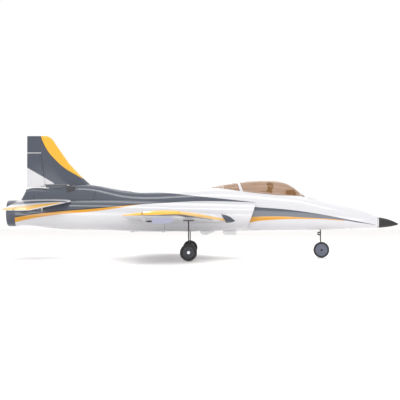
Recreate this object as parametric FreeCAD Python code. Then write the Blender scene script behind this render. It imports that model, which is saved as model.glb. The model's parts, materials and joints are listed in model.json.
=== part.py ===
import FreeCAD, Part
import math
import os

# Remote-control jet with a ducted fan, millimetres.
# +X points to the nose, +Y to the left wing tip, +Z up. The wheels stand on Z = 0.

V = FreeCAD.Vector

# Airframe
NOSE_TIP_X = 443.2
NOSE_BASE_X = 398.0
TAIL_X = -443.2
COLLAR_LENGTH = 20.0
COLLAR_RADIUS = 29.5
THRUST_Z = 101.6
FRONT_JOINT_X = 122.0
TAIL_JOINT_X = -184.0
BODY_POWER = 2.7
NACELLE_POWER = 2.5
LIP_TOP = (119.0, 127.0)
LIP_BOTTOM = (97.0, 65.0)
INTAKE_WALL = 2.4
BELLY_Z = 60.4

# Fan and tail pipe
FAN_X = -118.0
FAN_LENGTH = 46.0
FAN_BORE = 25.0
FAN_WALL = 2.0
BLADE_COUNT = 8
BLADE_RADIUS = 24.4
HUB_RADIUS = 11.0
PIPE_WALL = 0.8
NOZZLE_RADIUS = 23.0

# Wing
WING_ROOT_Y = 62.0
WING_TIP_Y = 375.0
WING_ROOT_Z = (84.5, 87.0)
WING_TIP_Z = (98.5, 95.0)
WING_ROOT_THICK = 23.0
WING_TIP_THICK = 10.0
WING_UPPER = 0.76
WING_ROOT_X = (52.0, -167.0)
WING_TIP_X = (-45.0, -156.0)
AILERON_Y = 190.0
AILERON_HINGE_X = -119.0
AILERON_SERVO_Y = 232.0
AILERON_ROD = 42.0
AILERON_CRANK = 10.5

# Tail
FIN_TOP_Z = 277.4
FIN_TRAIL_X = -400.7
RUDDER_TOP = (-370.7, 239.7)
RUDDER_FOOT = (-358.9, 159.5)
RUDDER_HORN = 5.0
RUDDER_SERVO = (-305.0, -10.6)
SIDE_CRANK = 9.5
STAB_ROOT_Y = 27.0
STAB_TIP_Y = 170.0
STAB_ROOT_Z = 128.0
STAB_TIP_Z = 107.4
STAB_ROOT_X = (-296.0, -417.0)
STAB_TIP_X = (-365.0, -426.0)
STAB_THICK = (7.2, 5.0)
ELEVATOR_HORN = 11.0
ELEVATOR_ROD = 31.0
ELEVATOR_CRANK = 9.0
ELEVATOR_Y = 25.0
ELEVATOR_HINGE_X = (-392.0, -402.0)

# Moving joints
CONTROL_GAP = 0.7
NOSE_STEP = 0.2
END_GAP = 1.2
ELEVATOR_ROOT_GAP = 2.8
HATCH_GAP = 0.4
RUNNING_GAP = 0.06
LINK_GAP = 0.2
PLATE = 1.6
ROD_RADIUS = 0.75

# Undercarriage
WHEEL_RADIUS = 18.4
WIRE_RADIUS = 1.25
MAIN_GEAR_X = -31.0
MAIN_WIRE_Z = 87.4
MAIN_MOUNT_Z = (84.0, 90.4)
MAIN_WIRE_Y = 176.0
MAIN_WHEEL_Y = 185.0
MAIN_TYRE_WIDTH = 12.0
NOSE_GEAR_X = 267.0
NOSE_AXLE_X = 269.0
NOSE_TYRE_WIDTH = 9.0
NOSE_WIRE_Y = 8.6
STEERING_Z = 83.4
STEERING_SERVO_X = 304.0

# Hatch and cockpit
HATCH_FLOOR_Z = 131.0
HATCH_OUTLINE = [(12, 12), (40, 21), (90, 25), (192, 25), (226, 18.5), (246, 11)]
BAY_X = (36.0, 225.0)
BAY_HALF_WIDTH = 19.0
BAY_FLOOR_Z = 72.0
COCKPIT_X = (66.0, 212.0)
COCKPIT_HALF_WIDTH = 15.0
COCKPIT_FLOOR_Z = 138.5
GLASS = 1.0

# Section stations: X, half width, lowest Z, Z of the greatest width, highest Z
CORE = [
    (398, 12.2, 68.4, 80.5, 92.8),
    (375, 18.5, 67.6, 83.0, 101.5),
    (321, 26.8, 65.0, 88.0, 117.0),
    (266, 32.0, 63.4, 92.0, 129.0),
    (228, 34.0, 62.6, 94.0, 139.8),
    (170, 35.0, 62.0, 96.0, 148.4),
    (107, 35.5, 61.2, 97.0, 155.0),
    (48, 36.0, 60.8, 98.0, 158.6),
    (-7, 36.0, 60.5, 98.0, 158.0),
    (-70, 36.0, 60.5, 98.0, 154.6),
    (-135, 34.5, 60.5, 98.5, 152.2),
    (-190, 30.3, 63.4, 100.5, 156.0),
    (-246, 24.4, 69.0, 104.2, 166.0),
    (-290, 20.4, 74.8, 107.4, 166.0),
    (-345, 15.6, 83.0, 111.4, 158.0),
    (-402, 12.0, 92.0, 115.0, 156.4),
]
NACELLE = [
    (140, 55.5, 68.0, 97.0, 125.5),
    (100, 57.0, 64.5, 97.0, 127.5),
    (48, 58.0, 61.2, 97.0, 129.5),
    (-7, 57.5, 60.4, 97.0, 131.0),
    (-70, 55.0, 60.0, 97.0, 132.5),
    (-135, 51.0, 60.0, 98.0, 134.5),
    (-200, 46.0, 61.4, 99.0, 136.0),
    (-270, 40.5, 63.2, 100.0, 135.6),
    (-340, 35.0, 66.5, 101.0, 134.0),
    (-423.2, 29.5, 72.1, 101.6, 131.1),
]
DUCT = [
    (76, 46.0, 8.0, 77.0, 97.0, 113.0),
    (40, 43.5, 9.2, 76.0, 97.5, 114.0),
    (0, 36.0, 12.0, 76.0, 98.5, 119.0),
    (-45, 22.0, 16.0, 77.0, 100.5, 124.5),
    (-84, 9.0, 15.5, 79.0, 101.6, 124.2),
]
CANOPY = [
    (231, 3.0, 136.0, 138.0, 140.6),
    (219, 12.5, 132.0, 139.5, 149.5),
    (198, 18.5, 131.0, 141.0, 165.0),
    (170, 22.0, 132.0, 144.0, 174.2),
    (139, 22.8, 134.0, 147.0, 175.9),
    (107, 22.4, 137.0, 150.0, 174.4),
    (82, 20.5, 141.0, 153.0, 171.6),
    (48, 14.0, 147.0, 155.5, 166.6),
    (19, 3.0, 154.0, 157.0, 159.6),
]


# ---------------------------------------------------------------- plain shapes


def box(x_span, y_span, z_span):
    size = [max(s) - min(s) for s in (x_span, y_span, z_span)]
    return Part.makeBox(size[0], size[1], size[2], V(min(x_span), min(y_span), min(z_span)))


def cylinder(start, end, radius):
    along = end - start
    return Part.makeCylinder(radius, along.Length, start, along)


def cone(start, end, radius_start, radius_end):
    along = end - start
    return Part.makeCone(radius_start, radius_end, along.Length, start, along)


def fuse(shapes):
    shapes = list(shapes)
    joined = shapes[0]
    for shape in shapes[1:]:
        joined = joined.fuse(shape)
    return joined.removeSplitter()


def group(shapes):
    return Part.makeCompound(list(shapes))


def cut_all(shape, tools):
    for tool in tools:
        shape = shape.cut(tool)
    return shape


def mirror(shape):
    """The same shape on the other side of the plane of symmetry."""
    return shape.mirror(V(0, 0, 0), V(0, 1, 0))


def mix(a, b, t):
    return a + (b - a) * t


def prism(points, along):
    """A closed polygon pushed along a vector."""
    return Part.Face(Part.makePolygon(points + [points[0]])).extrude(along)


def turned(profile, centre, axis):
    """A face turned once round an axis."""
    return Part.Face(profile).revolve(centre, axis, 360)


def turned_x(points, z=THRUST_Z):
    """Points of X and radius turned round a line along X."""
    corners = [V(x, 0, z + r) for x, r in points]
    return turned(Part.makePolygon(corners + [corners[0]]), V(0, 0, z), V(1, 0, 0))


def section(x, y, half_width, z_low, z_mid, z_high, power, shrink=0.0, points=24):
    """A closed rounded section across X, with its own upper and lower halves."""
    corners = []
    for i in range(points):
        angle = 2 * math.pi * i / points
        c, s = math.cos(angle), math.sin(angle)
        across = math.copysign(abs(c) ** (2 / power), c) * (half_width - shrink)
        height = (z_high - z_mid if s > 0 else z_mid - z_low) - shrink
        up = math.copysign(abs(s) ** (2 / power), s) * height
        corners.append(V(x, y + across, z_mid + up))
    curve = Part.BSplineCurve()
    curve.interpolate(corners, PeriodicFlag=True)
    return Part.Wire([curve.toShape()])


def body_loft(stations, power, shrink=0.0):
    wires = [
        section(x, 0, width, low, mid, high, power, shrink)
        for x, width, low, mid, high in stations
    ]
    return Part.makeLoft(wires, True, False)


# ---------------------------------------------------------------- wing sections


def half_thickness(s, thick, edge=1.2):
    """Half the depth of a streamlined section at the fraction s of its chord."""
    bulge = 0.2969 * math.sqrt(s) - 0.126 * s - 0.3516 * s**2 + 0.2843 * s**3 - 0.1036 * s**4
    return 5 * (thick - edge / 2) * bulge + edge / 2 * s


def airfoil(lead, trail, normal, thick, upper=0.5, points=9):
    """A closed section. 'upper' is the share of its depth that lies above the chord."""
    sides = []
    for share in (2 * upper, 2 * upper - 2):
        run = []
        for i in range(points):
            s = (1 - math.cos(math.pi * i / (points - 1))) / 2
            run.append(lead + (trail - lead) * s + normal * (share * half_thickness(s, thick)))
        curve = Part.BSplineCurve()
        curve.interpolate(run)
        sides.append(curve)
    edge = Part.LineSegment(sides[0].EndPoint, sides[1].EndPoint).toShape()
    return Part.Wire([sides[0].toShape(), edge, sides[1].toShape()])


def panel(stations, normal, upper=0.5):
    """A ruled solid through sections given as (lead, trail, thickness)."""
    wires = [airfoil(lead, trail, normal, thick, upper) for lead, trail, thick in stations]
    return Part.makeLoft(wires, True, True)


class Hinge:
    """The hinge line of a control surface and the nose radius at both of its ends."""

    def __init__(self, start, end, radius_start, radius_end, normal):
        self.start, self.end = start, end
        self.radii = radius_start, radius_end
        self.normal = normal
        self.axis = (end - start).normalize()
        self.length = (end - start).Length
        self.forward = self.axis.cross(normal).normalize()
        if self.forward.x < 0:
            self.forward = self.forward * -1

    def at(self, distance):
        return self.start + self.axis * distance

    def radius(self, distance):
        return mix(self.radii[0], self.radii[1], distance / self.length)

    def nose(self, first, last, extra=0.0):
        r = self.radius(first) + extra, self.radius(last) + extra
        return cone(self.at(first), self.at(last), r[0], r[1])

    def aft(self, first, last, side):
        """Everything behind the hinge line between two distances, ends cut along 'side'."""
        corner = self.at(first)
        up = side * 40
        back = V(-90, 0, 0)
        face = [corner + up, corner + up + back, corner - up + back, corner - up]
        return prism(face, self.axis * (last - first))

    def divide(self, whole, side, first_gap=END_GAP, last_gap=0.0, beyond=30.0):
        """The fixed part and the moving part of a panel."""
        last = self.length if last_gap else self.length + beyond
        fixed = whole.cut(self.aft(0, last, side))
        fixed = fixed.cut(self.nose(0, last, CONTROL_GAP))
        moving = whole.common(self.aft(first_gap, last - last_gap, side))
        end = self.length - max(last_gap, 0.8)
        return fixed, moving.fuse(self.nose(first_gap, end, -NOSE_STEP)).removeSplitter()

    def tongue(self, distance):
        """A fixed leaf with its pin, and the room that it needs in the moving part."""
        centre = self.at(distance)
        reach = self.radius(distance) + CONTROL_GAP + 4.0
        half = self.axis * 2.5
        thin = self.normal * 0.45
        leaf = prism([centre - half - thin, centre - half + thin, centre + half + thin,
                      centre + half - thin], self.forward * reach)
        barrel = cylinder(centre - half, centre + half, 1.2)
        pin = cylinder(centre - self.axis * 6, centre + self.axis * 6, 0.5)
        wide = self.axis * 2.9
        tall = self.normal * 2.1
        slot = prism([centre - wide - tall, centre - wide + tall, centre + wide + tall,
                      centre + wide - tall], self.forward * 12)
        room = cylinder(centre - wide, centre + wide, 2.0)
        hole = cylinder(centre - self.axis * 6.4, centre + self.axis * 6.4, 0.5 + RUNNING_GAP)
        return fuse([leaf, barrel, pin]), [slot, room, hole]


def bar(start, end, axis, width, thick):
    """A flat link with round ends between two points, square to an axis."""
    ends = [cylinder(p - axis * (thick / 2), p + axis * (thick / 2), width / 2) for p in (start, end)]
    across = axis.cross(end - start).normalize() * (width / 2)
    back = axis * (thick / 2)
    web = prism([start - across - back, start + across - back, end + across - back,
                 end - across - back], axis * thick)
    return fuse([web] + ends)


class Linkage:
    """A servo arm, a push rod and a control horn that form a parallelogram."""

    def __init__(self, hinge_point, shaft_point, axis, crank, rod_side=1):
        self.hinge, self.shaft, self.axis = hinge_point, shaft_point, axis
        self.crank = crank - axis * crank.dot(axis)
        self.step = axis * (rod_side * (PLATE / 2 + ROD_RADIUS + 0.4))

    def arm(self):
        plate = bar(self.shaft, self.shaft + self.crank, self.axis, 3.8, PLATE)
        hub = cylinder(self.shaft - self.axis * 1.3, self.shaft + self.axis * 1.3, 2.6)
        return fuse([plate, hub]).cut(self.eye(self.shaft, RUNNING_GAP))

    def horn(self, base):
        """A plate from two points inside the surface out past the rod's pin."""
        tip = self.hinge + self.crank
        out = self.crank * (1 / self.crank.Length)
        base = [p - self.axis * (p - self.hinge).dot(self.axis) for p in base]
        along = (base[0] - base[1]).normalize()
        outline = [base[0] + along * 1.8, tip + along * 1.9, tip + along * 1.0 + out * 1.8,
                   tip - along * 1.0 + out * 1.8, tip - along * 1.9, base[1] - along * 1.8]
        plate = prism([p - self.axis * (PLATE / 2) for p in outline], self.axis * PLATE)
        return plate.cut(self.eye(self.hinge, LINK_GAP))

    def eye(self, centre, gap):
        reach = self.axis * 5
        pin = centre + self.crank
        return cylinder(pin - reach, pin + reach, ROD_RADIUS + gap)

    def pin(self, point, ahead):
        """A point on the rod's line, ahead of the pin at one of its ends."""
        forward = (self.shaft - self.hinge).normalize()
        return point + self.crank + self.step + forward * ahead

    def rod(self):
        ends = [p + self.crank for p in (self.shaft, self.hinge)]
        wire = cylinder(ends[0] + self.step, ends[1] + self.step, ROD_RADIUS)
        pins = [cylinder(p + self.step, p - self.step, ROD_RADIUS) for p in ends]
        balls = [Part.makeSphere(ROD_RADIUS, p + self.step) for p in ends]
        return fuse([wire] + pins + balls)


# ---------------------------------------------------------------- fuselage


def fuselage_skin():
    """The closed outer shape of the fuselage, before anything is hollowed out."""
    core = body_loft(CORE, BODY_POWER)
    nacelle = body_loft(NACELLE, NACELLE_POWER)
    top, bottom = V(LIP_TOP[0], 0, LIP_TOP[1]), V(LIP_BOTTOM[0], 0, LIP_BOTTOM[1])
    along = (top - bottom).normalize()
    low, high = bottom - along * 60, top + along * 60
    reach = V(120, 0, 0)
    ahead = prism([low, high, high + reach, low + reach], V(0, 160, 0))
    nacelle = nacelle.cut(ahead.translated(V(0, -80, 0)))
    tail_end = [
        section(-401, 0, 12.0, 92, 115, 156.4, BODY_POWER),
        section(-413, 0, 11.0, 92, 112, 133.2, BODY_POWER),
    ]
    return core, fuse([core, nacelle, Part.makeLoft(tail_end, True, True)])


def intake_mouths(core):
    """The open mouths beside the core, up to where the ducts begin."""
    inside = body_loft(NACELLE[:4], NACELLE_POWER, INTAKE_WALL)
    return inside.common(box((70, 150), (-80, 80), (40, 150))).cut(core)


def duct(side):
    wires = [
        section(x, side * y, width, low, mid, high, 2.6)
        for x, y, width, low, mid, high in DUCT
    ]
    return Part.makeLoft(wires, True, False)


def fan_bore():
    """The round bore that holds the fan and its tail pipe."""
    front = FAN_X + FAN_LENGTH / 2 - 8
    back = FAN_X - FAN_LENGTH / 2
    outer = FAN_BORE + FAN_WALL
    mouth = turned_x([(-78, 0), (-78, FAN_BORE - 3), (front, FAN_BORE), (front, 0)])
    house = turned_x([(front, 0), (front, outer), (back, outer), (back, 0)])
    return fuse([mouth, house]), front, back


def pipe_radii(x, back):
    share = (back - x) / (back - TAIL_X)
    return mix(FAN_BORE + PIPE_WALL, NOZZLE_RADIUS + PIPE_WALL, share)


def hatch_prism(gap, low, high):
    """The upright space of the hatch, from its plan outline."""
    right = [V(x, -(y - gap), low) for x, y in HATCH_OUTLINE]
    left = [V(x, y - gap, low) for x, y in reversed(HATCH_OUTLINE)]
    right[0].x += gap
    left[-1].x += gap
    right[-1].x -= gap
    left[0].x -= gap
    return prism(right + left, V(0, 0, high - low))


def nose_bay():
    return box((250, 336), (-14, 14), (40, 96))


# ---------------------------------------------------------------- wing and tail panels


def wing_station(y):
    """Leading point, trailing point and thickness of the wing at a distance from the centre."""
    t = (y - WING_ROOT_Y) / (WING_TIP_Y - WING_ROOT_Y)
    lead, trail = [
        V(mix(WING_ROOT_X[i], WING_TIP_X[i], t), y, mix(WING_ROOT_Z[i], WING_TIP_Z[i], t)) for i in (0, 1)
    ]
    return lead, trail, mix(WING_ROOT_THICK, WING_TIP_THICK, t)


def wing_depth(x, y):
    """The middle of the wing's depth at a place in plan, and half of that depth."""
    lead, trail, thick = wing_station(y)
    s = (lead.x - x) / (lead.x - trail.x)
    half = half_thickness(s, thick)
    return V(x, y, mix(lead.z, trail.z, s) + (2 * WING_UPPER - 1) * half), half


def left_wing():
    """The wing from inside the fuselage to its tip, with a swept glove at the root."""
    stations = []
    for y, forward, slim, short in ((40, 40, 1, 0), (56, 17, 1, 0), (70, 0, 1, 0), (367, 0, 1, 0),
                                    (375, -7, 0.55, 5)):
        lead, trail, thick = wing_station(y)
        stations.append((lead + V(forward, 0, 0), trail + V(short, 0, 0), thick * slim))
    return panel(stations, V(0, 0, 1), WING_UPPER)


def wing_hinge():
    ends, radii = zip(*[wing_depth(AILERON_HINGE_X, y) for y in (AILERON_Y, 367)])
    return Hinge(ends[0], ends[1], radii[0], radii[1], V(0, 0, 1))


def stab_station(y):
    t = (y - STAB_ROOT_Y) / (STAB_TIP_Y - STAB_ROOT_Y)
    return (
        mix(STAB_ROOT_X[0], STAB_TIP_X[0], t),
        mix(STAB_ROOT_X[1], STAB_TIP_X[1], t),
        mix(STAB_ROOT_Z, STAB_TIP_Z, t),
        mix(STAB_THICK[0], STAB_THICK[1], t),
    )


def left_stab():
    stations = []
    for y, slim, inset in ((8, 1, 0), (164, 1, 0), (170, 0.6, 5)):
        lead, trail, z, thick = stab_station(y)
        stations.append((V(lead - inset, y, z), V(trail + inset * 0.5, y, z), thick * slim))
    return panel(stations, V(0, 0, 1))


def stab_hinge():
    slope = (ELEVATOR_HINGE_X[1] - ELEVATOR_HINGE_X[0]) / (STAB_TIP_Y - STAB_ROOT_Y)
    ends, radii = [], []
    for y in (ELEVATOR_Y, 164):
        x = ELEVATOR_HINGE_X[0] + slope * (y - STAB_ROOT_Y)
        lead, trail, z, thick = stab_station(y)
        ends.append(V(x, y, z))
        radii.append(half_thickness((lead - x) / (lead - trail), thick))
    return Hinge(ends[0], ends[1], radii[0], radii[1], V(0, 0, 1))


# Fin stations: Z, leading X, thickness
FIN = [
    (146.0, -232.0, 11.0),
    (160.0, -248.0, 11.0),
    (173.4, -264.4, 10.6),
    (191.0, -283.0, 10.0),
    (216.0, -306.0, 9.2),
    (258.5, -335.5, 7.2),
    (268.0, -341.5, 6.8),
    (274.0, -347.5, 5.6),
    (FIN_TOP_Z, -354.5, 3.6),
]


def fin_panel():
    stations = [(V(lead, 0, z), V(FIN_TRAIL_X, 0, z), thick) for z, lead, thick in FIN]
    return panel(stations, V(0, 1, 0))


def fin_half_depth(x, z):
    """Half the fin's thickness at a place in side view."""
    for low, high in zip(FIN, FIN[1:]):
        if low[0] <= z <= high[0]:
            t = (z - low[0]) / (high[0] - low[0])
            lead, thick = mix(low[1], high[1], t), mix(low[2], high[2], t)
            return half_thickness((lead - x) / (lead - FIN_TRAIL_X), thick)


def rudder_hinge():
    ends = [V(x, 0, z) for x, z in (RUDDER_FOOT, RUDDER_TOP)]
    radii = [fin_half_depth(p.x, p.z) for p in ends]
    return Hinge(ends[0], ends[1], radii[0], radii[1], V(0, 1, 0))


# ---------------------------------------------------------------- undercarriage


def tyre(centre, width, rim):
    """A round-shouldered tyre on an axle along Y."""
    half = width / 2
    shoulder = WHEEL_RADIUS - half * 0.85
    corners = [V(0, -half, rim), V(0, -half, shoulder), V(0, half, shoulder), V(0, half, rim)]
    tread = Part.Arc(corners[1], V(0, 0, WHEEL_RADIUS), corners[2]).toShape()
    sides = [Part.LineSegment(corners[a], corners[b]).toShape() for a, b in ((0, 1), (2, 3), (3, 0))]
    profile = Part.Wire([sides[0], tread, sides[1], sides[2]])
    return turned(profile, V(0, 0, 0), V(0, 1, 0)).translated(centre)


def wheel_hub(centre, width, rim, boss, spokes):
    """A rim, a web with raised spokes and a boss, on an axle along Y."""
    half = width / 2
    outline = [(-half + 1, rim), (half - 1, rim), (half - 1, rim - 1.6), (1.2, rim - 2.4), (1.2, boss + 0.6),
               (half - 0.6, boss), (half - 0.6, 0), (-half + 0.6, 0), (-half + 0.6, boss),
               (-1.2, boss + 0.6), (-1.2, rim - 2.4), (-half + 1, rim - 1.6)]
    corners = [V(0, y, r) for y, r in outline]
    hub = turned(Part.makePolygon(corners + [corners[0]]), V(0, 0, 0), V(0, 1, 0))
    for i in range(spokes):
        spoke = box((-0.7, 0.7), (1.6 - half, half - 1.6), (boss - 0.6, rim - 1.0))
        spoke.rotate(V(0, 0, 0), V(0, 1, 0), 360 / spokes * i)
        hub = hub.fuse(spoke)
    bore = cylinder(V(0, -20, 0), V(0, 20, 0), WIRE_RADIUS + RUNNING_GAP)
    return hub.cut(bore).translated(centre)


def wire_path(points, radius=WIRE_RADIUS):
    """Straight wire runs with a slightly larger ball at each bend."""
    runs = [cylinder(a, b, radius) for a, b in zip(points, points[1:])]
    bends = [Part.makeSphere(radius * 1.04, p) for p in points[1:-1]]
    return fuse(runs + bends)


def main_strut():
    axle_z = WHEEL_RADIUS
    points = [
        V(MAIN_GEAR_X, 150, MAIN_WIRE_Z),
        V(MAIN_GEAR_X, MAIN_WIRE_Y, MAIN_WIRE_Z),
        V(MAIN_GEAR_X, MAIN_WIRE_Y, axle_z),
        V(MAIN_GEAR_X, MAIN_WHEEL_Y + MAIN_TYRE_WIDTH / 2 + 4.0, axle_z),
    ]
    wire = wire_path(points)
    face = MAIN_WHEEL_Y + MAIN_TYRE_WIDTH / 2 - 0.6 + 0.4
    nut = cylinder(V(MAIN_GEAR_X, face, axle_z), V(MAIN_GEAR_X, face + 3.0, axle_z), 2.9)
    inner = MAIN_WHEEL_Y - MAIN_TYRE_WIDTH / 2 + 0.6 - 0.4
    stop = cylinder(V(MAIN_GEAR_X, inner - 1.4, axle_z), V(MAIN_GEAR_X, inner, axle_z), 2.4)
    return wire, fuse([wire, nut, stop])


def nose_strut(linkage):
    x, axle_z = NOSE_GEAR_X, WHEEL_RADIUS
    upper = cylinder(V(x, 0, 85.2), V(x, 0, 55.6), WIRE_RADIUS)
    coils = [Part.makeTorus(2.9, WIRE_RADIUS * 1.08, V(x - 2.9, y, 55.5), V(0, 1, 0)) for y in (0, 2.4)]
    bridge = cylinder(V(x - 5.8, 0, 55.5), V(x - 5.8, 2.4, 55.5), WIRE_RADIUS)
    lower = wire_path([
        V(x, 2.4, 55.4),
        V(x + 0.3, 3.0, 46),
        V(NOSE_AXLE_X - 0.6, NOSE_WIRE_Y, 38),
        V(NOSE_AXLE_X, NOSE_WIRE_Y, axle_z),
        V(NOSE_AXLE_X, -NOSE_TYRE_WIDTH / 2 - 3.4, axle_z),
    ])
    thrust_ring = cylinder(V(x, 0, 64.6), V(x, 0, 67.4), 3.0)
    half = NOSE_TYRE_WIDTH / 2 - 0.6 + 0.4
    collars = [
        cylinder(V(NOSE_AXLE_X, s * half, axle_z), V(NOSE_AXLE_X, s * (half + 2.2), axle_z), 2.6)
        for s in (-1, 1)
    ]
    return fuse([upper, lower, bridge, thrust_ring, linkage.arm_solid] + coils + collars)


# ---------------------------------------------------------------- cockpit


def pilot():
    """A helmeted bust in a flying suit, on a seat."""
    x, floor = 151.0, COCKPIT_FLOOR_Z + 1.2
    torso = Part.makeLoft([
        section(0, 0, 11.0, -6.0, 0.0, 6.5, 2.6),
        section(11, 0, 12.0, -6.5, 0.0, 7.0, 2.6),
        section(16.5, 0, 9.0, -5.0, 0.0, 5.0, 2.4),
    ], True, False)
    torso.rotate(V(0, 0, 0), V(0, 1, 0), -90)
    torso.translate(V(x, 0, floor))
    neck = cylinder(V(x, 0, floor + 15), V(x + 0.5, 0, floor + 20), 3.4)
    head_z = floor + 25.0
    helmet = Part.makeSphere(7.4, V(x + 0.5, 0, head_z))
    visor = Part.makeSphere(7.9, V(x + 1.0, 0, head_z + 0.4)).common(
        box((x + 2.2, x + 12), (-6.8, 6.8), (head_z - 2.2, head_z + 4.4)))
    mask = cylinder(V(x + 5, 0, head_z - 4.0), V(x + 9.2, 0, head_z - 4.8), 2.4)
    return fuse([torso, neck, helmet, visor, mask])


def cockpit_tray():
    x0, x1 = COCKPIT_X
    w, z = COCKPIT_HALF_WIDTH, COCKPIT_FLOOR_Z
    floor = box((x0, x1), (-w, w), (z, z + 1.2))
    seat = box((134, 141), (-10, 10), (z + 1.2, z + 24)).cut(
        cylinder(V(147, 0, z), V(147, 0, z + 40), 9.0))
    rear = box((70, 100), (-11, 11), (z + 1.2, z + 11))
    consoles = [box((160, 190), (s * 10, s * w), (z + 1.2, z + 6.5)) for s in (-1, 1)]
    return fuse([floor, seat, rear] + consoles)


def instrument_hood():
    z = COCKPIT_FLOOR_Z + 1.2
    base = box((188, 211), (-12, 12), (z, z + 9.5))
    crown = cylinder(V(188, 0, z + 4), V(208, 0, z + 4), 11.5).common(
        box((187, 209), (-12, 12), (z + 4, z + 15.0)))
    return fuse([base, crown])


# ---------------------------------------------------------------- the sub-parts


def build_fuselage(parts):
    core, skin = fuselage_skin()
    bore, fan_front, fan_back = fan_bore()
    pipe = turned_x([(fan_back, 0), (fan_back, FAN_BORE + PIPE_WALL),
                     (TAIL_X, NOZZLE_RADIUS + PIPE_WALL), (TAIL_X, 0)])
    hatch_space = hatch_prism(0, HATCH_FLOOR_Z, 190)
    hatch_block = skin.common(hatch_prism(HATCH_GAP, HATCH_FLOOR_Z + HATCH_GAP, 190))
    bay = box(BAY_X, (-BAY_HALF_WIDTH, BAY_HALF_WIDTH), (BAY_FLOOR_Z, HATCH_FLOOR_Z + 1))
    cover_room = box((-166, -84), (-24, 24), (40, BELLY_Z + 3.4))

    front = skin.common(box((FRONT_JOINT_X, NOSE_BASE_X), (-90, 90), (40, 200)))
    front = cut_all(front, [hatch_space, bay, nose_bay()])
    middle = skin.common(box((TAIL_JOINT_X, FRONT_JOINT_X), (-90, 90), (40, 200)))
    middle = cut_all(middle, [hatch_space, bay, intake_mouths(core), duct(1), duct(-1), bore, pipe,
                              cover_room])
    tail = skin.common(box((-423.2, TAIL_JOINT_X), (-90, 90), (40, 200)))
    tail = tail.cut(pipe)

    inner_front = FAN_BORE + PIPE_WALL
    parts["thrust_tube"] = turned_x([(fan_back, FAN_BORE), (fan_back, inner_front),
                                     (TAIL_X + 6, pipe_radii(TAIL_X + 6, fan_back)),
                                     (TAIL_X + 6, NOZZLE_RADIUS + 0.1)])
    collar_front = TAIL_X + COLLAR_LENGTH
    parts["exhaust_collar"] = turned_x([
        (collar_front, pipe_radii(collar_front, fan_back)), (collar_front, COLLAR_RADIUS),
        (TAIL_X + 2.5, COLLAR_RADIUS), (TAIL_X, COLLAR_RADIUS - 1.5), (TAIL_X, COLLAR_RADIUS - 3),
        (TAIL_X + 2, pipe_radii(TAIL_X + 6, fan_back) + 1), (TAIL_X + 6, pipe_radii(TAIL_X + 6, fan_back))])

    nose = [(NOSE_BASE_X, 80.5, 12.1), (NOSE_BASE_X + 18, 79.6, 9.6), (NOSE_BASE_X + 34, 78.2, 5.6),
            (NOSE_BASE_X + 42, 77.3, 2.6)]
    rings = [section(x, 0, r, z - r, z, z + r, 2.0) for x, z, r in nose]
    tip = Part.makeSphere(2.75, V(NOSE_TIP_X - 2.75, 0, 77.2))
    parts["nose_cone"] = fuse([Part.makeLoft(rings, True, False), tip])

    cover = box((-165.7, -84.3), (-23.7, 23.7), (BELLY_Z - 0.4, BELLY_Z + 3.4))
    corners = [V(x, y, BELLY_Z - 0.4) for x in (-160, -90) for y in (-18.5, 18.5)]
    screws = []
    for corner in corners:
        head = cylinder(corner - V(0, 0, 1.2), corner, 2.6).cut(
            cylinder(corner - V(0, 0, 1.4), corner - V(0, 0, 0.6), 1.2))
        screws.append(head.fuse(cylinder(corner, corner + V(0, 0, 9), 1.1)))
    parts["belly_hatch"] = cut_all(cover, screws)
    parts["airframe_screws"] = group(screws)
    middle = cut_all(middle, screws)
    parts["fan_housing"], parts["fan_motor"], parts["fan_rotor"] = fan_unit(fan_front, fan_back)
    return skin, hatch_block, {"front": front, "middle": middle, "tail": tail}


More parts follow.
